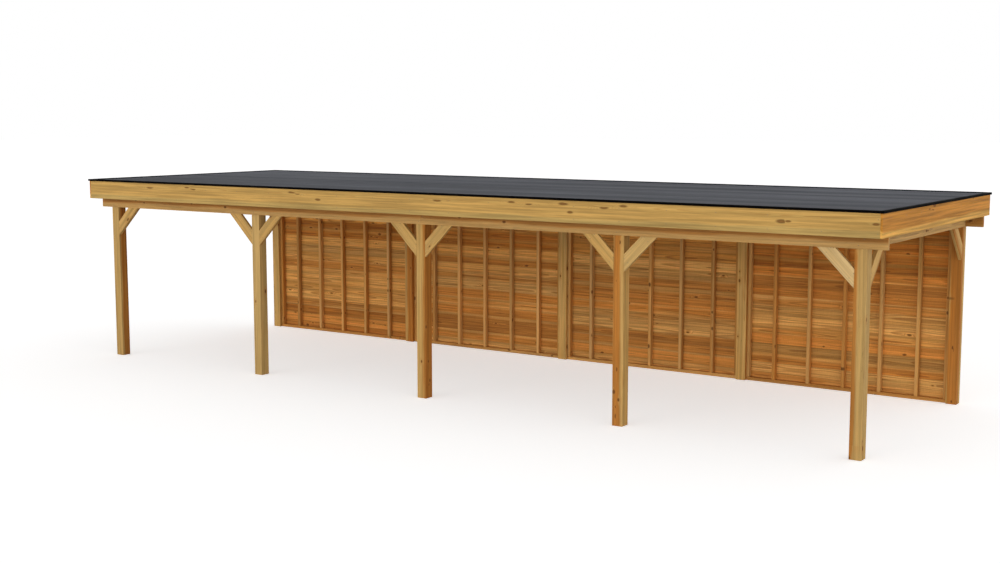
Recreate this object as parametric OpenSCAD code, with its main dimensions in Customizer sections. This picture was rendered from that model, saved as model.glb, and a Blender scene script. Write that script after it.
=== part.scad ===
// Freestanding flat-roofed timber patio cover: two rows of posts, an open front and
// open ends, and a boarded wall between the back posts.
// Millimetres. X runs along the length, Y from front to back and Z up.
// The origin lies on the ground, under the middle of the roof.

/* [Layout] */
// Number of bays along the length
bays = 4; // [2:1:6]
// Distance between the centres of neighbouring posts along the length
bay_pitch = 2850; // [2000:10:3600]
// Depth over the outer faces of the front and the back posts
frame_depth = 3544; // [2400:1:5000]
// Clear height under the beams
clear_height = 2225; // [1900:5:2800]

/* [Posts and beams] */
// Side of the square posts
post_size = 136; // [100:1:180]
// Thickness of the beams on all four sides
beam_thick = 45; // [30:1:60]
// Height of the beams
beam_height = 135; // [100:5:220]
// How far the long beams' ends stop short of the side fascias' outer faces
beam_setin = 12; // [0:1:60]

/* [Braces] */
// Length of a brace's outer edge along the beam and along the post
brace_leg = 412; // [300:1:700]
// Width of the brace board
brace_width = 142; // [80:1:180]

/* [Roof] */
// Overhang of the roof in front of the front posts
overhang_front = 220; // [120:1:600]
// Overhang of the roof behind the back posts
overhang_back = 188; // [120:1:600]
// Overhang of the roof past the end posts
overhang_side = 224; // [120:1:600]
// Thickness of the fascia boards
fascia_thick = 25; // [18:1:45]
// Thickness of the roof joists
joist_thick = 45; // [35:1:75]
// Height of the roof joists
joist_height = 245; // [140:5:300]
// Largest distance between the centres of neighbouring joists
joist_pitch_max = 600; // [300:10:900]
// Thickness of the roof deck
deck_thick = 22; // [15:1:35]
// Thickness of the roofing membrane
membrane_thick = 4; // [1:1:8]

/* [Roof edge trim] */
// Overall height of the edge trim
trim_height = 27; // [20:1:60]
// How high the trim stands above the membrane
trim_bead = 12; // [5:1:15]
// How far the trim stands out from the fascia
trim_proud = 14; // [6:1:30]
// Wall of the trim's front leg
trim_wall = 3; // [2:1:5]

/* [Back wall] */
// How far the wall frame is set back from the posts' front faces
wall_setback = 46; // [20:1:60]
// Thickness of the wall boards
cladding_thick = 20; // [15:1:30]
// Thickness of the studs and rails
stud_thick = 45; // [30:1:60]
// Distance between the centres of neighbouring studs, counted from the bay's middle
stud_pitch = 483; // [300:1:700]
// Least clear space between the outermost stud of the row and the stud on the post
stud_gap_min = 90; // [60:10:200]

/* [Hidden] */
cut = 1;
posts = bays + 1;
bays_per_beam = 2;
beam_count = ceil(bays / bays_per_beam);
row_length = bays * bay_pitch + post_size;
roof_length = row_length + 2 * overhang_side;
roof_depth = frame_depth + overhang_front + overhang_back;
beam_overhang = overhang_side - beam_setin;

// Outer faces of the end posts, of the front posts and of the back posts
end_x = row_length / 2;
front_y = overhang_front - roof_depth / 2;
back_y = roof_depth / 2 - overhang_back;

// Heights of the layers of the roof
beam_top = clear_height + beam_height;
joist_top = beam_top + joist_height;
deck_top = joist_top + deck_thick;
membrane_top = deck_top + membrane_thick;
trim_top = membrane_top + trim_bead;

// Inside of the ring of fascia boards
inner_length = roof_length - 2 * fascia_thick;
inner_depth = roof_depth - 2 * fascia_thick;

// Joists share the inner length evenly, with the end ones against the side fascias
joist_gaps = ceil((inner_length - joist_thick) / joist_pitch_max);
joist_pitch = (inner_length - joist_thick) / joist_gaps;

// Back wall, between the side faces of two posts
bay_clear = bay_pitch - post_size;
stud_depth = post_size - wall_setback - cladding_thick;
stud_room = bay_clear / 2 - 1.5 * stud_thick - stud_gap_min;
studs_each_side = floor(stud_room / stud_pitch);

TIMBER = [0.78, 0.58, 0.32];
BEAM_TIMBER = [0.72, 0.50, 0.25];
WALL_TIMBER = [0.60, 0.38, 0.18];
FASCIA_TIMBER = [0.82, 0.62, 0.34];
DECK_TIMBER = [0.70, 0.55, 0.36];
MEMBRANE = [0.29, 0.30, 0.33];
TRIM = [0.04, 0.04, 0.05];

POST_NODES = [for (row = ["front_post_", "back_post_"], i = [1 : posts]) str(row, i)];
BEAM_NODES = [for (row = ["front_beam_", "back_beam_"], i = [1 : beam_count]) str(row, i)];
BRACE_NODES = [for (i = [1 : posts]) str("front_braces_", i)];
WALL_NODES = [for (kind = ["wall_frame_", "wall_cladding_"], i = [1 : bays]) str(kind, i)];

function post_x(i) = (i - 1) * bay_pitch - bays * bay_pitch / 2;

// Draws its children as built for the left end, or mirrored for the right end
module at_end(right) {
    mirror([right ? 1 : 0, 0, 0]) children();
}

// Draws its children as built for the front row, or mirrored for the back row.
// The row's outer face lies at Y = 0, and the cover's inside at +Y.
module at_row(back) {
    translate([0, back ? back_y : front_y, 0])
        mirror([0, back ? 1 : 0, 0])
            children();
}

// A post with its top let out for the long beam, and for the side beam too at a corner.
// side is -1 where the side beam lies on its left face, 1 on its right, 0 for none.
module post(side) {
    difference() {
        translate([-post_size / 2, 0, 0])
            cube([post_size, post_size, beam_top]);
        translate([-post_size / 2 - cut, -cut, clear_height])
            cube([post_size + 2 * cut, beam_thick + cut, beam_height + cut]);
        if (side != 0)
            mirror([side > 0 ? 1 : 0, 0, 0])
                translate([-post_size / 2 - cut, -cut, clear_height])
                    cube([beam_thick + cut, post_size + 2 * cut, beam_height + cut]);
    }
}

module row_post(i, back) {
    side = i == 1 ? -1 : i == posts ? 1 : 0;
    color(TIMBER)
        at_row(back)
            translate([post_x(i), 0, 0])
                post(side);
}

// One length of a long beam: it ends over the middle of a post, or past the end post
module row_beam(k, back) {
    from = k == 1 ? -end_x - beam_overhang : post_x(1 + (k - 1) * bays_per_beam);
    to = k == beam_count ? end_x + beam_overhang : post_x(1 + k * bays_per_beam);
    color(BEAM_TIMBER)
        at_row(back)
            translate([from, 0, clear_height])
                cube([to - from, beam_thick, beam_height]);
}

module side_beam(right) {
    color(BEAM_TIMBER)
        at_end(right)
            translate([-end_x, front_y + beam_thick, clear_height])
                cube([beam_thick, frame_depth - 2 * beam_thick, beam_height]);
}

// Outline of a 45 degree brace in the corner between a post's face and a beam.
// X runs out along the beam from the post's face, Y is the height below the beam.
module brace_outline() {
    inner_leg = brace_leg - brace_width * sqrt(2);
    polygon([[0, -brace_leg], [brace_leg, 0], [inner_leg, 0], [0, -inner_leg]]);
}

// A brace that leans out to the right of a post's face at X = 0
module brace() {
    translate([0, beam_thick, clear_height])
        rotate([90, 0, 0])
            linear_extrude(beam_thick)
                brace_outline();
}

module front_braces(i) {
    color(TIMBER)
        at_row(false)
            translate([post_x(i), 0, 0]) {
                if (i < posts)
                    translate([post_size / 2, 0, 0]) brace();
                if (i > 1)
                    mirror([1, 0, 0])
                        translate([post_size / 2, 0, 0]) brace();
            }
}

// A brace under the side beam, flush with the end posts' outer faces
module side_brace(right, back) {
    color(TIMBER)
        at_end(right)
            at_row(back)
                translate([-end_x, post_size, 0])
                    mirror([1, -1, 0])
                        brace();
}

// Sill, head and studs of one bay of the back wall, as one fixed frame
module wall_frame(i) {
    rail_z = [0, clear_height - stud_thick];
    stud_x = [
        (stud_thick - bay_clear) / 2,
        each [for (k = [-studs_each_side : studs_each_side]) k * stud_pitch],
        (bay_clear - stud_thick) / 2
    ];
    color(WALL_TIMBER)
        translate([post_x(i) + bay_pitch / 2, back_y - cladding_thick - stud_depth, 0]) {
            for (z = rail_z)
                translate([-bay_clear / 2, 0, z])
                    cube([bay_clear, stud_depth, stud_thick]);
            for (x = stud_x)
                translate([x - stud_thick / 2, 0, 0])
                    cube([stud_thick, stud_depth, clear_height]);
        }
}

module wall_cladding(i) {
    color(WALL_TIMBER)
        translate([post_x(i) + post_size / 2, back_y - cladding_thick, 0])
            cube([bay_clear, cladding_thick, clear_height]);
}

module roof_joists() {
    color(DECK_TIMBER)
        for (k = [0 : joist_gaps])
            translate([k * joist_pitch - inner_length / 2, -inner_depth / 2, beam_top])
                cube([joist_thick, inner_depth, joist_height]);
}

module roof_deck() {
    color(DECK_TIMBER)
        translate([-inner_length / 2, -inner_depth / 2, joist_top])
            cube([inner_length, inner_depth, deck_thick]);
}

module roof_membrane() {
    color(MEMBRANE)
        translate([-roof_length / 2, -roof_depth / 2, deck_top])
            cube([roof_length, roof_depth, membrane_thick]);
}

// The front and back fascias fit between the side fascias
module long_fascia(back) {
    color(FASCIA_TIMBER)
        mirror([0, back ? 1 : 0, 0])
            translate([-inner_length / 2, -roof_depth / 2, beam_top])
                cube([inner_length, fascia_thick, deck_top - beam_top]);
}

module side_fascia(right) {
    color(FASCIA_TIMBER)
        at_end(right)
            translate([-roof_length / 2, -roof_depth / 2, beam_top])
                cube([fascia_thick, roof_depth, deck_top - beam_top]);
}

// One length of edge trim along X, its outer face at Y = 0, with mitred ends.
// It lies on the membrane over the fascia, and its front leg hangs clear of the fascia.
module trim(length) {
    seat = trim_proud + fascia_thick;
    intersection() {
        rotate([90, 0, 90])
            linear_extrude(length, center = true)
                polygon([
                    [0, trim_top - trim_height],
                    [0, trim_top],
                    [seat, trim_top],
                    [seat, membrane_top],
                    [trim_wall, membrane_top],
                    [trim_wall, trim_top - trim_height]
                ]);
        linear_extrude(trim_top + cut)
            polygon([
                [-length / 2, 0],
                [length / 2, 0],
                [length / 2 - seat, seat],
                [seat - length / 2, seat]
            ]);
    }
}

module long_trim(back) {
    color(TRIM)
        mirror([0, back ? 1 : 0, 0])
            translate([0, -roof_depth / 2 - trim_proud, 0])
                trim(roof_length + 2 * trim_proud);
}

module side_trim(right) {
    color(TRIM)
        at_end(right)
            translate([-roof_length / 2 - trim_proud, 0, 0])
                rotate([0, 0, -90])
                    trim(roof_depth + 2 * trim_proud);
}

for (i = [1 : posts]) {
    row_post(i, false);
    row_post(i, true);
    front_braces(i);
}
for (k = [1 : beam_count]) {
    row_beam(k, false);
    row_beam(k, true);
}
for (i = [1 : bays]) {
    wall_frame(i);
    wall_cladding(i);
}
side_beam(false);  // left_side_beam
side_beam(true);  // right_side_beam
side_brace(false, false);  // left_front_brace
side_brace(false, true);  // left_back_brace
side_brace(true, false);  // right_front_brace
side_brace(true, true);  // right_back_brace
roof_joists();
roof_deck();
roof_membrane();
long_fascia(false);  // front_fascia
long_fascia(true);  // back_fascia
side_fascia(false);  // left_fascia
side_fascia(true);  // right_fascia
long_trim(false);  // front_trim
long_trim(true);  // back_trim
side_trim(false);  // left_trim
side_trim(true);  // right_trim
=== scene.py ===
"""Looks of the freestanding patio cover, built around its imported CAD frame. Metres, +Z up."""
import math
import random

import bmesh
import bpy
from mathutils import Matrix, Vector


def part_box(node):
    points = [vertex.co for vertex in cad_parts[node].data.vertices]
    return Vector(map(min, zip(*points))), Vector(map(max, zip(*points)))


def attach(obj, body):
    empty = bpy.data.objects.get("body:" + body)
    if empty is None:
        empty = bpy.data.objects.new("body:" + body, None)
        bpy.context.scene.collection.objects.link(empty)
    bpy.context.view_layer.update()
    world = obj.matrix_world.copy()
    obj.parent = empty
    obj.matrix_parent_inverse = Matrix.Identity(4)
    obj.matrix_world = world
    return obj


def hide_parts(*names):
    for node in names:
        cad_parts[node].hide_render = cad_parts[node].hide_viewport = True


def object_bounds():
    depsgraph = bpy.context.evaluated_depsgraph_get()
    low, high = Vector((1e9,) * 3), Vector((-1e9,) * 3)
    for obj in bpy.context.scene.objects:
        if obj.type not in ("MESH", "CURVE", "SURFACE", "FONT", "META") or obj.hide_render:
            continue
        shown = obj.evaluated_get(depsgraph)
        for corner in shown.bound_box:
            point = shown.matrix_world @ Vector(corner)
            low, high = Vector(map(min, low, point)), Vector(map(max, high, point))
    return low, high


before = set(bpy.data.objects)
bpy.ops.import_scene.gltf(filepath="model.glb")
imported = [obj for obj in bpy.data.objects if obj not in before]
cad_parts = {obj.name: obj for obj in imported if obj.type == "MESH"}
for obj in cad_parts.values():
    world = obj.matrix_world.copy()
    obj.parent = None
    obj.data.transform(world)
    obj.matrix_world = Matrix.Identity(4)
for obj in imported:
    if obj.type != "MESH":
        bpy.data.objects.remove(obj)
cad_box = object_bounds()

NODES = sorted(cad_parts)
ROOT = "root"
AXES = (Vector((1, 0, 0)), Vector((0, 1, 0)), Vector((0, 0, 1)))

# Sizes of the detail that the frame leaves out
EASE = 0.003
TRIM_EASE = 0.00075
FELT_EASE = 0.001
SHARP_ANGLE = math.radians(50)
EDGE_ANGLE = math.radians(20)
STUD_WIDEST = 0.06

# Wall boards, in rows counted up from the sill
WALL_BOARDS = 17
BOARD_THIN, BOARD_LIP, BOARD_THICK = 0.0095, 0.0105, 0.0195
BOARD_LAP = 0.012
BOARD_CHAMFER = 0.002
BOARD_END_GAP = 0.001
BOARD_GAP = 0.0012
OPEN_GAPS = {3: 0.003, 5: 0.004, 9: 0.008, 12: 0.003, 13: 0.005, 15: 0.004}
PALE_ROWS = (1, 4, 6, 11, 14)
# Rows 2 and 3 are darker boards; row 12 is dark as painted shade under the roof.
DARK_ROWS = (2, 3, 12)
# From this row up the boards are tinted darker and redder: painted shade under the roof.
PAINTED_SHADE_ROWS_FROM = 12

# Deck boards and roofing felt
DECK_BOARD_W = 0.12
DECK_VEE, DECK_JOINT = 0.004, 0.0006
DECK_RUN = 7
FELT_ROLLS = 4
FELT_EDGE, FELT_LAP, FELT_RISE = 0.03, 0.11, 0.003
FELT_STEP, FELT_SLOPE, FELT_SINK = 0.002, 0.03, 0.0005

# Screw and nail heads: radius, how proud they stand, and where they are driven
SCREW_R = 0.0045
NAIL_R = 0.0035
HEAD_PROUD = 0.0007
HEAD_SINK = 0.0005
HEAD_SIDES = 10
SCREW_INSET = 0.035
BEAM_SCREW_ASIDE = 0.03
BRACE_SCREW_ASIDE = 0.035
BRACE_SCREW_FROM_END = 0.11
FASCIA_SCREW_RISE, FASCIA_SCREW_DROP = 0.045, 0.075
FASCIA_SCREW_PITCH = 0.5
NAIL_RISES = (0.25, 0.75)
NAIL_SCATTER = 0.006


# ---------------------------------------------------------------- node graphs

def linear(r, g, b):
    """An sRGB colour given from 0 to 255, as the linear colour that a shader takes."""
    def one(c):
        c /= 255
        return c / 12.92 if c <= 0.04045 else ((c + 0.055) / 1.055) ** 2.4
    return (one(r), one(g), one(b), 1.0)


class Graph:
    """The node tree of a material or a world, with one short call for each kind of node."""

    def __init__(self, owner):
        owner.use_nodes = True
        self.owner = owner
        self.tree = owner.node_tree
        self.tree.nodes.clear()

    def node(self, kind, **settings):
        made = self.tree.nodes.new(kind)
        for key, value in settings.items():
            setattr(made, key, value)
        return made

    def feed(self, socket, value):
        if isinstance(value, bpy.types.NodeSocket):
            self.tree.links.new(value, socket)
        elif value is not None:
            socket.default_value = value[:3] if socket.type == "VECTOR" else value

    def math(self, operation, a, b=None, c=None):
        made = self.node("ShaderNodeMath", operation=operation)
        for socket, value in zip(made.inputs, (a, b, c)):
            self.feed(socket, value)
        return made.outputs[0]

    def vector(self, operation, a, b=None):
        made = self.node("ShaderNodeVectorMath", operation=operation)
        for socket, value in zip(made.inputs, (a, b)):
            self.feed(socket, value)
        return made.outputs["Value" if operation == "LENGTH" else "Vector"]

    def attribute(self, name):
        return self.node("ShaderNodeAttribute", attribute_name=name).outputs["Vector"]

    def split(self, vector):
        made = self.node("ShaderNodeSeparateXYZ")
        self.feed(made.inputs[0], vector)
        return made.outputs

    def join(self, x, y, z):
        made = self.node("ShaderNodeCombineXYZ")
        for socket, value in zip(made.inputs, (x, y, z)):
            self.feed(socket, value)
        return made.outputs[0]

    def noise(self, vector, scale=1.0, detail=2.0, roughness=0.5):
        made = self.node("ShaderNodeTexNoise")
        settings = {"Vector": vector, "Scale": scale, "Detail": detail, "Roughness": roughness}
        for key, value in settings.items():
            self.feed(made.inputs[key], value)
        return made.outputs

    def ranged(self, value, low, high, to_low=0.0, to_high=1.0, smooth=True):
        """value taken from low..high to to_low..to_high, and held at both ends."""
        kind = "SMOOTHSTEP" if smooth else "LINEAR"
        made = self.node("ShaderNodeMapRange", interpolation_type=kind, clamp=True)
        for socket, given in zip(made.inputs, (value, low, high, to_low, to_high)):
            self.feed(socket, given)
        return made.outputs[0]

    def mix(self, share, a, b):
        """a where share is 0, b where it is 1."""
        made = self.node("ShaderNodeMix", data_type="RGBA", blend_type="MIX")
        self.feed(made.inputs["Factor"], share)
        colours = [s for s in made.inputs if s.type == "RGBA"]
        self.feed(colours[0], a)
        self.feed(colours[1], b)
        return next(s for s in made.outputs if s.type == "RGBA")

    def scaled(self, colour, factor):
        """colour made lighter or darker by a factor that may vary."""
        return self.vector("MULTIPLY", colour, self.join(factor, factor, factor))

    def surface(self, colour, roughness, height, distance, strength=0.5, specular=0.35):
        """The finished material, with height as bump of the given distance in metres."""
        shader = self.node("ShaderNodeBsdfPrincipled")
        self.feed(shader.inputs["Base Color"], colour)
        self.feed(shader.inputs["Roughness"], roughness)
        shader.inputs["Specular IOR Level"].default_value = specular
        bump = self.node("ShaderNodeBump")
        bump.inputs["Strength"].default_value = strength
        bump.inputs["Distance"].default_value = distance
        self.feed(bump.inputs["Height"], height)
        self.feed(shader.inputs["Normal"], bump.outputs[0])
        output = self.node("ShaderNodeOutputMaterial")
        self.feed(output.inputs["Surface"], shader.outputs[0])
        return self.owner


def new_material(name):
    return Graph(bpy.data.materials.new(name))


# ------------------------------------------------------------------ materials

# How fast each pattern in timber changes: per metre along the board, across it and through it
WANDER_RATE = (0.7, 2.5, 2.5)
DRIFT_RATE = (0.25, 7.0, 7.0)
STREAK_RATE = (0.8, 34.0, 34.0)
FIBRE_RATE = (9.0, 420.0, 420.0)
PATCH_RATE = (1.6, 9.0, 9.0)
CRACK_RATE = (1.1, 26.0, 26.0)
CRACKED_RATE = (1.3, 3.0, 3.0)
SAW_RATE = (240.0, 14.0, 14.0)

WANDER = 0.045
RING_DRIFT = 3.0
KNOT_CELL_LENGTH, KNOT_CELL_ANGLE = 0.30, 0.75
KNOT_SWELL = 0.9
HEART_BLUR = 0.014
HEART_RAGGED, HEART_SHIFT = 0.05, 0.06
CRACK_DARK = 0.4


def timber(name, sap, heart, late, knot, sap_radius=0.075, ring=0.0042, ring_depth=0.5, knots=0.14,
           knot_size=(0.006, 0.015), knot_stretch=0.45, streaks=0.24, sawn=0.0, spread=0.12,
           cracks=0.7, warm=(1.0, 0.86, 0.62)):
    """Solid softwood. Each board carries its own coordinates in the attribute grain: metres along the
    board, then the two distances from the tree's pith. The attribute tone holds three shares for the
    board: how light, how warm, and a shift of its sapwood."""
    g = new_material(name)
    grain = g.attribute("grain")
    tone = g.split(g.attribute("tone"))

    def varied(rate, detail, roughness=0.5):
        return g.noise(g.vector("MULTIPLY", grain, rate), detail=detail, roughness=roughness)

    def off_middle(value, reach):
        return g.math("MULTIPLY", g.math("SUBTRACT", value, 0.5), reach)

    # The trunk isn't straight: the two distances from the pith wander along the board
    bends = g.vector("SUBTRACT", varied(WANDER_RATE, 2.0)["Color"], (0.5, 0.5, 0.5))
    bends = g.vector("MULTIPLY", bends, (0.0, WANDER, WANDER))
    place = g.vector("ADD", grain, bends)
    along, across, deep = g.split(place)[:3]
    radius = g.vector("LENGTH", g.vector("MULTIPLY", place, (0.0, 1.0, 1.0)))

    # Knots: branches that run outwards from the pith, each met once in a cell of length and angle
    angle = g.math("ARCTAN2", across, deep)
    cells = g.node("ShaderNodeTexVoronoi", voronoi_dimensions="2D", feature="F1")
    g.feed(cells.inputs["Scale"], 1.0)
    in_cells = (g.math("DIVIDE", along, KNOT_CELL_LENGTH), g.math("DIVIDE", angle, KNOT_CELL_ANGLE))
    g.feed(cells.inputs["Vector"], g.join(*in_cells, 0.0))
    centre = g.split(cells.outputs["Position"])
    chance = g.split(cells.outputs["Color"])
    off_along = g.math("SUBTRACT", along, g.math("MULTIPLY", centre[0], KNOT_CELL_LENGTH))
    off_angle = g.math("SUBTRACT", angle, g.math("MULTIPLY", centre[1], KNOT_CELL_ANGLE))
    off_round = g.math("MULTIPLY", off_angle, radius)
    away = g.vector("LENGTH", g.join(g.math("MULTIPLY", off_along, knot_stretch), off_round, 0.0))
    knot_radius = g.math("MULTIPLY", g.ranged(chance[0], 0.0, 1.0, *knot_size, smooth=False),
                         g.ranged(chance[1], 1.0 - knots, 1.01 - knots, 0.02, 1.0))
    knot_reach = g.math("DIVIDE", away, knot_radius)
    knot_mask = g.ranged(knot_reach, 0.5, 1.3, 1.0, 0.0)
    halo = g.ranged(knot_reach, 0.7, 4.0, 1.0, 0.0)

    # Growth rings swell round the knots
    swell = g.math("MULTIPLY", g.math("MULTIPLY", halo, knot_radius), KNOT_SWELL)
    ringed = g.math("ADD", radius, swell)
    drift = varied(DRIFT_RATE, 1.0)["Fac"]
    phase = g.math("ADD", g.math("DIVIDE", ringed, ring), g.math("MULTIPLY", drift, RING_DRIFT))
    part = g.math("FRACT", phase)
    late_wood = g.math("MULTIPLY", g.ranged(part, 0.35, 0.92), g.ranged(part, 0.93, 1.0, 1.0, 0.0))

    # Streaks along the board, broad and fine
    broad = varied(STREAK_RATE, 3.0, roughness=0.6)["Fac"]
    fine = varied(FIBRE_RATE, 2.0)["Fac"]
    patches = varied(PATCH_RATE, 2.0)["Fac"]

    # Heartwood within, sapwood outside
    edge = g.math("ADD", ringed, off_middle(patches, HEART_RAGGED))
    edge = g.math("ADD", edge, off_middle(tone[2], HEART_SHIFT))
    colour = g.mix(g.ranged(edge, sap_radius - HEART_BLUR, sap_radius + HEART_BLUR), heart, sap)
    colour = g.mix(g.math("MULTIPLY", late_wood, ring_depth), colour, late)
    colour = g.scaled(colour, g.ranged(broad, 0.28, 0.72, 1.0 - streaks, 1.0 + 0.6 * streaks))
    colour = g.scaled(colour, g.ranged(fine, 0.3, 0.7, 0.93, 1.05))
    light = g.ranged(tone[0], 0.0, 1.0, 1.0 - spread, 1.0 + spread * 0.8, smooth=False)
    colour = g.scaled(colour, light)
    warmth = g.math("MULTIPLY", tone[1], g.ranged(patches, 0.3, 0.7, 0.4, 1.0))
    colour = g.mix(warmth, colour, g.vector("MULTIPLY", colour, warm))
    colour = g.mix(g.math("MULTIPLY", halo, 0.35), colour, heart)
    knot_rim = g.vector("MULTIPLY", knot, (0.45, 0.4, 0.4))
    knot_colour = g.mix(g.ranged(knot_reach, 0.1, 1.0), knot, knot_rim)
    colour = g.mix(g.math("MULTIPLY", knot_mask, 0.8), colour, knot_colour)

    # Drying cracks run along the board
    split_at = varied(CRACK_RATE, 2.0)["Fac"]
    some = varied(CRACKED_RATE, 1.0)["Fac"]
    crack = g.ranged(g.math("ABSOLUTE", g.math("SUBTRACT", split_at, 0.5)), 0.001, 0.005, 1.0, 0.0)
    crack = g.math("MULTIPLY", crack, g.ranged(some, 0.58, 0.64, 0.0, cracks))
    colour = g.scaled(colour, g.ranged(crack, 0.0, 1.0, 1.0, CRACK_DARK, smooth=False))

    # Late wood and fibres stand up, cracks lie deep, and the saw leaves marks across the board
    height = g.math("ADD", g.math("MULTIPLY", late_wood, 0.35), g.math("MULTIPLY", fine, 0.6))
    height = g.math("SUBTRACT", height, g.math("MULTIPLY", crack, 2.0))
    if sawn:
        teeth = varied(SAW_RATE, 2.0)["Fac"]
        height = g.math("ADD", height, g.math("MULTIPLY", teeth, sawn))
        colour = g.scaled(colour, g.ranged(teeth, 0.3, 0.7, 1.0 - 0.06 * sawn, 1.0 + 0.05 * sawn))
    roughness = g.ranged(late_wood, 0.0, 1.0, 0.78, 0.62)
    return g.surface(colour, roughness, height, distance=0.0006 + 0.0006 * sawn, specular=0.15)


def membrane_material():
    """Mineral-faced roofing felt: slate grey, lightly streaked along its rolls."""
    g = new_material("membrane")
    place = g.node("ShaderNodeTexCoord").outputs["Object"]
    streak = g.noise(g.vector("MULTIPLY", place, (0.4, 16.0, 1.0)), detail=3.0, roughness=0.6)["Fac"]
    band = g.noise(g.vector("MULTIPLY", place, (0.12, 3.2, 1.0)), detail=2.0, roughness=0.6)["Fac"]
    cloud = g.noise(g.vector("MULTIPLY", place, (0.5, 0.9, 1.0)), detail=3.0)["Fac"]
    grit = g.noise(place, scale=900.0, detail=2.0, roughness=0.7)["Fac"]
    colour = g.scaled(linear(86, 88, 94), g.ranged(streak, 0.3, 0.7, 0.88, 1.14))
    colour = g.scaled(colour, g.ranged(band, 0.34, 0.66, 0.76, 1.28))
    colour = g.scaled(colour, g.ranged(cloud, 0.3, 0.7, 0.9, 1.1))
    colour = g.scaled(colour, g.ranged(grit, 0.3, 0.7, 0.82, 1.18))
    roughness = g.ranged(streak, 0.3, 0.7, 0.78, 0.9)
    return g.surface(colour, roughness, grit, distance=0.0008, strength=0.6, specular=0.08)


def trim_material():
    """Black moulded edge profile, faintly marked by handling."""
    g = new_material("edge_trim")
    place = g.node("ShaderNodeTexCoord").outputs["Object"]
    smear = g.noise(g.vector("MULTIPLY", place, (3.0, 3.0, 20.0)), detail=3.0)["Fac"]
    grit = g.noise(place, scale=600.0, detail=1.0)["Fac"]
    colour = g.scaled(linear(4, 3, 3), g.ranged(smear, 0.3, 0.7, 0.8, 1.3))
    roughness = g.ranged(smear, 0.3, 0.7, 0.6, 0.72)
    return g.surface(colour, roughness, grit, distance=0.0002, strength=0.4, specular=0.02)


def steel_material():
    """Zinc-plated fixings, dulled."""
    g = new_material("fixings")
    place = g.node("ShaderNodeTexCoord").outputs["Object"]
    dull = g.noise(place, scale=240.0, detail=2.0)["Fac"]
    colour = g.mix(g.ranged(dull, 0.35, 0.65), linear(150, 138, 112), linear(96, 84, 64))
    return g.surface(colour, g.ranged(dull, 0.3, 0.7, 0.38, 0.6), dull, distance=0.0002, strength=0.3)


PALE_BRACE = timber("pale_timber", linear(216, 188, 136), linear(196, 152, 96), linear(180, 136, 84),
                    linear(96, 50, 18), ring_depth=0.3, knots=0.05)
POST = timber("post_timber", linear(206, 170, 106), linear(184, 122, 54), linear(164, 108, 50),
              linear(96, 50, 18), ring_depth=0.34)
BEAM = timber("beam_timber", linear(206, 166, 104), linear(188, 132, 68), linear(146, 92, 42),
              linear(92, 48, 18), sap_radius=0.06, ring_depth=0.4, knots=0.18)
FASCIA = timber("fascia_timber", linear(190, 160, 96), linear(205, 164, 92), linear(180, 128, 60),
                linear(116, 68, 26), sap_radius=0.15, ring_depth=0.45, knots=0.16, knot_size=(0.008, 0.018),
                knot_stretch=0.26, streaks=0.3, cracks=0.4)
SIDE_FASCIA = timber("side_fascia_timber", linear(226, 176, 90), linear(200, 138, 56),
                     linear(176, 110, 42), linear(118, 66, 26), sap_radius=0.14, ring_depth=0.45,
                     knots=0.05, knot_size=(0.008, 0.016), knot_stretch=0.3, streaks=0.36, cracks=0.4)
STUD = timber("stud_timber", linear(220, 172, 106), linear(206, 148, 78), linear(164, 106, 48),
              linear(94, 52, 20), ring_depth=0.4)
BOARDS = timber("wall_boards", linear(222, 168, 94), linear(208, 140, 66), linear(152, 92, 38),
                linear(92, 48, 16), sap_radius=0.08, ring=0.0075, ring_depth=0.6, knots=0.06,
                streaks=0.32, sawn=1.0, spread=0.36, cracks=0.5, warm=(1.0, 0.84, 0.6))
ROOFING = timber("roof_timber", linear(206, 168, 108), linear(190, 140, 78), linear(158, 108, 54),
                 linear(100, 58, 26), knots=0.2)
MEMBRANE = membrane_material()
TRIM = trim_material()
STEEL = steel_material()


# --------------------------------------------------------------------- meshes

class Boards:
    """Collects solids into one mesh, each with the grain and tone of its own board."""

    def __init__(self, seed):
        self.chance = random.Random(seed)
        self.verts, self.faces, self.grain, self.tone = [], [], [], []

    def add(self, verts, faces, axes=None, pith=None, tone=None):
        """axes are the board's length, width and thickness; pith is where the tree's middle lies from
        the board's centre, along the last two; tone is the three shares that timber() takes."""
        chance = self.chance
        low = Vector(map(min, zip(*verts)))
        high = Vector(map(max, zip(*verts)))
        if axes is None:
            order = sorted(range(3), key=lambda k: low[k] - high[k])
            axes = [AXES[k] for k in order]
        centre = (low + high) / 2
        if pith is None:
            pith = (chance.uniform(-0.04, 0.04), chance.choice((-1, 1)) * chance.uniform(0.03, 0.11))
        run = chance.uniform(0, 60)
        tone = tone or (chance.random(), chance.random(), chance.random())
        first = len(self.verts)
        for v in verts:
            off = Vector(v) - centre
            self.verts.append(tuple(v))
            self.grain += [off.dot(axes[0]) + run, off.dot(axes[1]) - pith[0], off.dot(axes[2]) - pith[1]]
            self.tone += tone
        self.faces += [[first + k for k in face] for face in faces]

    def box(self, low, high, ease=EASE, **how):
        self.add(*eased_box(low, high, ease), **how)

    def make(self, name, material, slot, *nodes):
        mesh = bpy.data.meshes.new(name)
        mesh.from_pydata(self.verts, [], self.faces)
        for key, values in (("grain", self.grain), ("tone", self.tone)):
            mesh.attributes.new(key, "FLOAT_VECTOR", "POINT").data.foreach_set("vector", values)
        mesh.validate()
        return piece(name, mesh, material, slot, *nodes)


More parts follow.
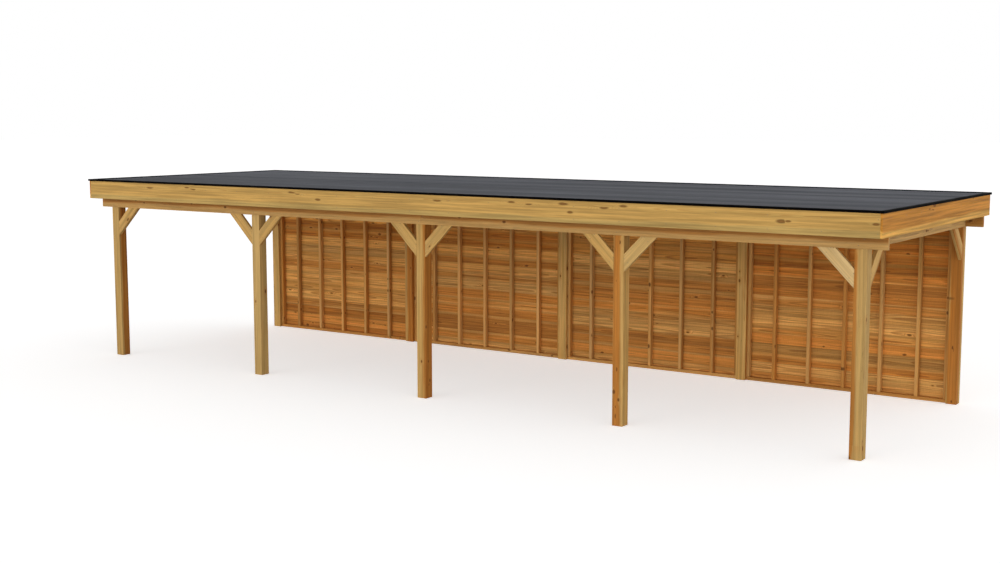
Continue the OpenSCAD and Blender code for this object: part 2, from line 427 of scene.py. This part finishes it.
def piece(name, mesh, material, slot, *nodes):
    """A finished piece: on the frame's only body, in place of the CAD nodes that it stands for."""
    mesh.materials.append(material)
    made = bpy.data.objects.new(name, mesh)
    bpy.context.scene.collection.objects.link(made)
    mesh.polygons.foreach_set("use_smooth", [True] * len(mesh.polygons))
    mesh.set_sharp_from_angle(angle=SHARP_ANGLE)
    made.modifiers.new("flat_faces", "WEIGHTED_NORMAL").keep_sharp = True
    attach(made, ROOT)
    if nodes:
        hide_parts(*nodes)
    return made


def listed(bm):
    """The vertices and faces of a bmesh as plain lists; frees it."""
    bm.verts.index_update()
    verts = [v.co.copy() for v in bm.verts]
    faces = [[v.index for v in f.verts] for f in bm.faces]
    bm.free()
    return verts, faces


def bevel(bm, ease, segments=2):
    """Rounds every edge that turns by more than EDGE_ANGLE."""
    edges = [e for e in bm.edges if e.is_manifold and e.calc_face_angle() > EDGE_ANGLE]
    bmesh.ops.bevel(bm, geom=edges, offset=ease, segments=segments, profile=0.5, affect="EDGES",
                    clamp_overlap=True)


def eased_box(low, high, ease):
    bm = bmesh.new()
    bmesh.ops.create_cube(bm, size=1.0)
    for v in bm.verts:
        v.co = Vector(high[k] if v.co[k] > 0 else low[k] for k in range(3))
    bevel(bm, ease, 1)
    return listed(bm)


def cad_solids(node, ease=EASE):
    """The separate solids of a CAD node, each with its edges eased, as vertices and faces."""
    bm = bmesh.new()
    bm.from_mesh(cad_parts[node].data)
    bmesh.ops.remove_doubles(bm, verts=bm.verts, dist=1e-5)
    bmesh.ops.dissolve_limit(bm, angle_limit=0.01, verts=bm.verts, edges=bm.edges)
    bevel(bm, ease)
    verts, faces = listed(bm)
    home = list(range(len(verts)))

    def root(k):
        while home[k] != k:
            home[k] = home[home[k]]
            k = home[k]
        return k

    for face in faces:
        for k in face[1:]:
            home[root(k)] = root(face[0])
    groups = {}
    for k in range(len(verts)):
        groups.setdefault(root(k), []).append(k)
    for members in groups.values():
        at = {k: n for n, k in enumerate(members)}
        yield [verts[k] for k in members], [[at[k] for k in f] for f in faces if f[0] in at]


def prism(outline, axis, start, end):
    """An outline in the two axes that follow axis, run from start to end along it."""
    second, third = (axis + 1) % 3, (axis + 2) % 3
    count = len(outline)

    def corner(at, point):
        v = [0.0, 0.0, 0.0]
        v[axis], v[second], v[third] = at, point[0], point[1]
        return v

    verts = [corner(at, p) for at in (start, end) for p in outline]
    sides = [[k, (k + 1) % count, count + (k + 1) % count, count + k] for k in range(count)]
    return verts, [list(range(count - 1, -1, -1)), list(range(count, 2 * count)), *sides]


class Fixings:
    """Collects screw and nail heads into one mesh."""

    def __init__(self):
        self.verts, self.faces = [], []

    def head(self, at, normal, radius):
        """A round head that is dished in the middle, its centre at a point of the timber's face."""
        sides = HEAD_SIDES
        normal = Vector(normal).normalized()
        side = normal.orthogonal().normalized()
        up = normal.cross(side)
        first = len(self.verts)
        rings = ((1.0, -HEAD_SINK), (1.0, HEAD_PROUD * 0.4), (0.75, HEAD_PROUD), (0.3, HEAD_PROUD * 0.6))
        last = len(rings) - 1
        for reach, height in rings:
            for k in range(sides):
                turn = 2 * math.pi * k / sides
                out = side * math.cos(turn) + up * math.sin(turn)
                self.verts.append(Vector(at) + out * radius * reach + normal * height)
        for ring in range(last):
            for k in range(sides):
                a, b = first + ring * sides + k, first + ring * sides + (k + 1) % sides
                self.faces.append([a, b, b + sides, a + sides])
        self.faces.append([first + last * sides + k for k in range(sides)])
        self.faces.append([first + k for k in reversed(range(sides))])

    def make(self, name):
        mesh = bpy.data.meshes.new(name)
        mesh.from_pydata([tuple(v) for v in self.verts], [], self.faces)
        return piece(name, mesh, STEEL, "fixings")


# --------------------------------------------------------------------- pieces

def numbered(start):
    return [n for n in NODES if n.startswith(start) and n[len(start):].isdigit()]


def brace_nodes():
    return numbered("front_braces_") + [n for n in NODES if n.endswith("_brace")]


def marks_along_x(node):
    """The places along X where a node's mesh has corners, in order."""
    return sorted({round(v.co.x, 4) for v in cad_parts[node].data.vertices})


def make_posts():
    """Square posts. pith says where the tree's middle lies in the posts whose faces the photo shows: a
    face near it is red heartwood, one far from it pale sapwood. The others draw theirs by chance."""
    pith = {
        "front_post_1": (0.095, 0.04),
        "front_post_2": (-0.06, 0.13),
        "front_post_3": (0.09, 0.0),
        "front_post_4": (-0.012, -0.045),
        "front_post_5": (-0.085, -0.05),
        "back_post_1": (-0.05, 0.03),
        "back_post_4": (0.05, 0.02),
        "back_post_5": (0.01, -0.06),
    }
    for seed, node in enumerate(numbered("front_post_") + numbered("back_post_")):
        boards = Boards(100 + seed)
        side = boards.chance.choice((-1, 1)) * boards.chance.uniform(0.03, 0.08)
        tone = (0.8, 0.7, 0.5) if node.startswith("back") else None
        for verts, faces in cad_solids(node):
            boards.add(verts, faces, axes=(AXES[2], AXES[0], AXES[1]),
                       pith=pith.get(node, (side, -side)), tone=tone)
        boards.make(f"timber_{node}", POST, "post_timber", node)


def make_beams():
    """The front beams have red heartwood above and pale sapwood below; the red upper half is also painted
    shade where the fascia shades the beam. The back ones are all red heartwood in the darkest, warmest
    tone: painted shade under the roof.
    """
    kinds = {
        # front: pith above the middle, so the red heartwood on top also serves as painted shade under the
        # fascia
        "front": {"pith": (0.045, -0.06), "tone": (0.7, 0.4, 0.5)},
        # back: all heartwood in the darkest, warmest tone, which is painted shade under the roof
        "back": {"pith": (0.0, 0.03), "tone": (0.0, 1.6, 0.5)},
    }
    nodes = numbered("front_beam_") + numbered("back_beam_") + ["left_side_beam", "right_side_beam"]
    for seed, node in enumerate(nodes):
        boards = Boards(200 + seed)
        kind = kinds.get(node.split("_")[0], {})
        for verts, faces in cad_solids(node):
            boards.add(verts, faces, **kind)
        boards.make(f"timber_{node}", BEAM, "beam_timber", node)


def brace_axes(verts):
    """A brace runs at 45 degrees: up and out from its post, in the X-Z or the Y-Z plane."""
    spans = [max(v[k] for v in verts) - min(v[k] for v in verts) for k in (0, 1)]
    flat = 0 if spans[0] > spans[1] else 1
    middle = sum(v[flat] for v in verts) / len(verts)
    top = [v[flat] for v in verts if v[2] > max(w[2] for w in verts) - 0.01]
    lean = 1 if sum(top) / len(top) > middle else -1
    length = (AXES[flat] * lean + AXES[2]).normalized()
    width = (AXES[2] - AXES[flat] * lean).normalized()
    return length, width, AXES[1 - flat]


def make_braces():
    """Knee braces, the tree's middle off towards +Y or +X. Two are pale: the right-hand one at the
    fourth front post and the one at the fifth."""
    for seed, node in enumerate(brace_nodes()):
        boards = Boards(300 + seed)
        for verts, faces in cad_solids(node):
            axes = brace_axes(verts)
            pale = node == "front_braces_4" and axes[0].x > 0
            tone = (1.0, 0.0, 1.0) if pale else (0.65, 0.6, 0.5)
            pith = (boards.chance.uniform(-0.03, 0.03), 0.085)
            boards.add(verts, faces, axes=axes, pith=pith, tone=tone)
        material = PALE_BRACE if node == "front_braces_5" else POST
        boards.make(f"timber_{node}", material, "post_timber", node)


def make_fascias():
    """Wide boards, the tree's middle near one long edge; the side ones have a material of their own."""
    kinds = {
        "front": ((0.07, 0.05), (0.6, 0.05, 0.5)),
        "back": ((0.07, -0.05), (0.5, 0.2, 0.5)),
        "left": ((0.07, 0.05), (0.6, 0.3, 0.5)),
        "right": ((0.07, 0.05), (0.6, 0.3, 0.5)),
    }
    for seed, (side, (pith, tone)) in enumerate(kinds.items()):
        boards = Boards(400 + seed)
        for verts, faces in cad_solids(f"{side}_fascia"):
            boards.add(verts, faces, pith=pith, tone=tone)
        material = FASCIA if side in ("front", "back") else SIDE_FASCIA
        boards.make(f"timber_{side}_fascia", material, "fascia_timber", f"{side}_fascia")


def stud_places(node):
    """Where the studs of a wall frame stand along X, as (left, right) pairs read from its mesh."""
    marks = marks_along_x(node)
    return [(a, b) for a, b in zip(marks, marks[1:]) if b - a < STUD_WIDEST]


def make_wall_frames():
    """Sill and head run through; the studs stand between them."""
    for seed, node in enumerate(numbered("wall_frame_")):
        studs = stud_places(node)
        low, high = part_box(node)
        rail = studs[0][1] - studs[0][0]
        boards = Boards(500 + seed)
        boards.box(low, (high.x, high.y, low.z + rail))
        boards.box((low.x, low.y, high.z - rail), high)
        for left, right in studs:
            boards.box((left, low.y, low.z + rail), (right, high.y, high.z - rail))
        boards.make(f"timber_{node}", STUD, "stud_timber", node)


def make_wall_boards(nails):
    """Tapered boards that lap over each other on the outside and show flat inside."""
    for seed, node in enumerate(numbered("wall_cladding_")):
        low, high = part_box(node)
        studs = stud_places(node.replace("cladding", "frame"))
        pitch = (high.z - low.z) / WALL_BOARDS
        boards = Boards(600 + seed)
        for k in range(WALL_BOARDS):
            z0, z1 = low.z + k * pitch, low.z + (k + 1) * pitch
            gap = OPEN_GAPS.get(k, BOARD_GAP)
            foot = z0 if k == 0 else z0 - BOARD_LAP
            y = low.y
            outer = y + BOARD_THICK
            outline = [(y, z0 + gap), (y, z1), (y + BOARD_THIN, z1), (outer, foot + BOARD_CHAMFER),
                       (outer - BOARD_CHAMFER, foot)]
            if k:
                outline += [(y + BOARD_LIP, foot), (y + BOARD_LIP, z0 + gap)]
            verts, faces = prism(outline, 0, low.x + BOARD_END_GAP, high.x - BOARD_END_GAP)
            light = 0.75 if k in PALE_ROWS else 0.35 if k in DARK_ROWS else 0.55
            # Rows under the roof get a strong warm tint, which is painted shade; lower rows get a random
            # warmth of their own.
            warm = 1.3 if k >= PAINTED_SHADE_ROWS_FROM else boards.chance.uniform(0.0, 0.9)
            tone = (light + boards.chance.uniform(-0.2, 0.2), warm, boards.chance.random())
            boards.add(verts, [f[::-1] for f in faces], axes=(AXES[0], AXES[2], AXES[1]), tone=tone)
            slope = (BOARD_THICK - BOARD_THIN) / (z1 - foot)
            for left, right in studs:
                for rise in NAIL_RISES:
                    z = z0 + rise * pitch
                    x = (left + right) / 2 + boards.chance.uniform(-NAIL_SCATTER, NAIL_SCATTER)
                    nails.head((x, y + BOARD_THIN + slope * (z1 - z), z), (0, 1, slope), NAIL_R)
        boards.make(f"timber_{node}", BOARDS, "wall_boards", node)


def joist_places():
    marks = marks_along_x("roof_joists")
    return list(zip(marks[::2], marks[1::2]))


def make_joists():
    low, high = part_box("roof_joists")
    boards = Boards(700)
    for left, right in joist_places():
        boards.box((left, low.y, low.z), (right, high.y, high.z))
    boards.make("timber_roof_joists", ROOFING, "roof_timber", "roof_joists")


def make_deck():
    """Matched boards along the length, V-jointed underneath and joined over joists."""
    low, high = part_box("roof_deck")
    rows = round((high.y - low.y) / DECK_BOARD_W)
    width = (high.y - low.y) / rows
    joists = joist_places()
    boards = Boards(800)
    for k in range(rows):
        y0, y1 = low.y + k * width + DECK_JOINT, low.y + (k + 1) * width - DECK_JOINT
        outline = [(y0, low.z + DECK_VEE), (y0 + DECK_VEE, low.z), (y1 - DECK_VEE, low.z),
                   (y1, low.z + DECK_VEE), (y1, high.z), (y0, high.z)]
        first = boards.chance.randrange(4, 9)
        joints = [sum(joists[j]) / 2 for j in (first, first + DECK_RUN) if j < len(joists) - 2]
        cuts = [low.x, *joints, high.x]
        for a, b in zip(cuts, cuts[1:]):
            verts, faces = prism(outline, 0, a + DECK_JOINT, b - DECK_JOINT)
            boards.add(verts, faces, axes=AXES)
    boards.make("timber_roof_deck", ROOFING, "roof_timber", "roof_deck")


def make_membrane():
    """Four rolls of felt along the length, each lapped over the one in front."""
    low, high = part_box("roof_membrane")
    boards = Boards(900)
    boards.box(low, high, ease=FELT_EASE)
    foot, top = high.z - FELT_SINK, high.z + FELT_RISE
    for k in range(1, FELT_ROLLS):
        y = low.y + (high.y - low.y) * k / FELT_ROLLS
        outline = [(y, foot), (y + FELT_STEP, top), (y + FELT_LAP, top), (y + FELT_LAP + FELT_SLOPE, foot)]
        verts, faces = prism(outline, 0, low.x + FELT_EDGE, high.x - FELT_EDGE)
        boards.add(verts, [f[::-1] for f in faces])
    boards.make("roofing_felt", MEMBRANE, "roof_membrane", "roof_membrane")


def make_trims():
    for seed, side in enumerate(("front", "back", "left", "right")):
        boards = Boards(950 + seed)
        for verts, faces in cad_solids(f"{side}_trim", TRIM_EASE):
            boards.add(verts, faces)
        boards.make(f"profile_{side}_trim", TRIM, "edge_trim", f"{side}_trim")


def screw_beams(screws):
    """Two screws through a long beam into each post, a little askew, and four in each end beam."""
    for row, out in (("front", -1), ("back", 1)):
        for node in numbered(f"{row}_post_"):
            low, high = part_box(node)
            beam_low, beam_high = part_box(f"{row}_beam_1")
            y = low.y if out < 0 else high.y
            lower = (-BEAM_SCREW_ASIDE, beam_low.z + SCREW_INSET)
            upper = (BEAM_SCREW_ASIDE, beam_high.z - SCREW_INSET)
            for shift, z in (lower, upper):
                screws.head(((low.x + high.x) / 2 + shift, y, z), (0, out, 0), SCREW_R)
    for side, out in (("left", -1), ("right", 1)):
        low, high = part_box(f"{side}_side_beam")
        x = low.x if out < 0 else high.x
        for y in (low.y + SCREW_INSET, high.y - SCREW_INSET):
            for z in (low.z + SCREW_INSET, high.z - SCREW_INSET):
                screws.head((x, y, z), (out, 0, 0), SCREW_R)


def screw_braces(screws):
    """Two screws at each end of every brace, on its outer face."""
    for node in brace_nodes():
        for verts, _ in cad_solids(node):
            length, width, depth = brace_axes(verts)
            middle = sum(verts, Vector()) / len(verts)
            out = -depth if middle.dot(depth) < 0 else depth
            face = max(v.dot(out) for v in verts)
            reach = max(v.dot(length) for v in verts) - middle.dot(length)
            for end in (-1, 1):
                for aside in (-BRACE_SCREW_ASIDE, BRACE_SCREW_ASIDE):
                    at = middle + length * end * (reach - BRACE_SCREW_FROM_END) + width * aside
                    screws.head(at + out * (face - at.dot(out)), out, SCREW_R)


def screw_fascias(screws):
    """Two screws into the end of every joist, and every half metre into the end joists."""
    joists = [(a + b) / 2 for a, b in joist_places()]
    for side, out in (("front", -1), ("back", 1)):
        low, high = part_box(f"{side}_fascia")
        for x in joists:
            for z in (low.z + FASCIA_SCREW_RISE, high.z - FASCIA_SCREW_DROP):
                screws.head((x, low.y if out < 0 else high.y, z), (0, out, 0), SCREW_R)
    for side, out in (("left", -1), ("right", 1)):
        low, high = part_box(f"{side}_fascia")
        steps = round((high.y - low.y) / FASCIA_SCREW_PITCH)
        for k in range(steps):
            for z in (low.z + FASCIA_SCREW_RISE, high.z - FASCIA_SCREW_DROP):
                y = low.y + (high.y - low.y) * (k + 0.5) / steps
                screws.head((low.x if out < 0 else high.x, y, z), (out, 0, 0), SCREW_R)


make_posts()
make_beams()
make_braces()
make_fascias()
make_wall_frames()
nails = Fixings()
make_wall_boards(nails)
nails.make("wall_nails")
screws = Fixings()
screw_beams(screws)
screw_braces(screws)
screw_fascias(screws)
screws.make("frame_screws")
make_joists()
make_deck()
make_membrane()
make_trims()


# ----------------------------------------------------- stage, lights, camera

HORIZON_LIGHT = 1.6
ZENITH_LIGHT = 0.5
ZENITH_FROM = 0.6
RIGHT_SHARE = 0.35
KEY_LIGHT = 0.85
KEY_SPREAD = math.radians(35)
KEY_DIRECTION = (0.22, 0.95, -0.11)
WHITE = (1.0, 1.0, 1.0, 1.0)
FLOOR_SHADE = (0.8, 0.8, 0.8, 1.0)
FLOOR_GLOW = 0.54
FLOOR_HALF = 150.0
FLOOR_DROP = 0.001
CAMERA_PLACE = (10.612, -15.612, 3.618)
CAMERA_PITCH, CAMERA_YAW = math.radians(6.93), math.radians(34.163)


def make_floor():
    """A pale floor that shows white and keeps the shadow."""
    g = new_material("floor")
    diffuse = g.node("ShaderNodeBsdfDiffuse")
    diffuse.inputs["Color"].default_value = FLOOR_SHADE
    glow = g.node("ShaderNodeEmission")
    glow.inputs["Color"].default_value = WHITE
    seen = g.node("ShaderNodeLightPath").outputs["Is Camera Ray"]
    g.feed(glow.inputs["Strength"], g.math("MULTIPLY", seen, FLOOR_GLOW))
    both = g.node("ShaderNodeAddShader")
    g.feed(both.inputs[0], diffuse.outputs[0])
    g.feed(both.inputs[1], glow.outputs[0])
    output = g.node("ShaderNodeOutputMaterial")
    g.feed(output.inputs["Surface"], both.outputs[0])
    half = FLOOR_HALF
    corners = [(-half, -half, 0), (half, -half, 0), (half, half, 0), (-half, half, 0)]
    mesh = bpy.data.meshes.new("floor")
    mesh.from_pydata(corners, [], [(0, 1, 2, 3)])
    mesh.materials.append(g.owner)
    floor = bpy.data.objects.new("floor", mesh)
    floor.location.z = cad_box[0].z - FLOOR_DROP
    bpy.context.scene.collection.objects.link(floor)


def make_world():
    """Soft white light, brighter near the horizon and towards +X; camera and reflections see white."""
    world = bpy.data.worlds.new("studio")
    g = Graph(world)
    path = g.node("ShaderNodeLightPath").outputs
    seen = g.math("MAXIMUM", path["Is Camera Ray"], path["Is Glossy Ray"])
    aside, _, height = g.split(g.node("ShaderNodeTexCoord").outputs["Generated"])[:3]
    light = g.ranged(height, 0.0, ZENITH_FROM, HORIZON_LIGHT, ZENITH_LIGHT)
    light = g.math("MULTIPLY", light, g.math("ADD", g.math("MULTIPLY", aside, RIGHT_SHARE), 1.0))
    back = g.node("ShaderNodeBackground")
    back.inputs["Color"].default_value = WHITE
    unseen = g.math("MULTIPLY", light, g.math("SUBTRACT", 1.0, seen))
    g.feed(back.inputs["Strength"], g.math("MAXIMUM", seen, unseen))
    g.feed(g.node("ShaderNodeOutputWorld").inputs["Surface"], back.outputs[0])
    bpy.context.scene.world = world


def make_key_light():
    """A low and very broad light from the front, which reaches the wall under the roof."""
    light = bpy.data.lights.new("key", "SUN")
    light.energy = KEY_LIGHT
    light.angle = KEY_SPREAD
    lamp = bpy.data.objects.new("key", light)
    lamp.rotation_euler = Vector(KEY_DIRECTION).to_track_quat("-Z", "Y").to_euler()
    bpy.context.scene.collection.objects.link(lamp)


def make_camera():
    """The photo's viewpoint, solved from the building's corners and post feet."""
    data = bpy.data.cameras.new("camera")
    data.lens = 50.0
    data.sensor_width = 36.0
    data.clip_end = 500.0
    camera = bpy.data.objects.new("camera", data)
    camera.location = CAMERA_PLACE
    camera.rotation_euler = (math.pi / 2 - CAMERA_PITCH, 0.0, CAMERA_YAW)
    bpy.context.scene.collection.objects.link(camera)
    bpy.context.scene.camera = camera


make_floor()
make_world()
make_key_light()
make_camera()
bpy.context.scene.view_settings.view_transform = "Standard"
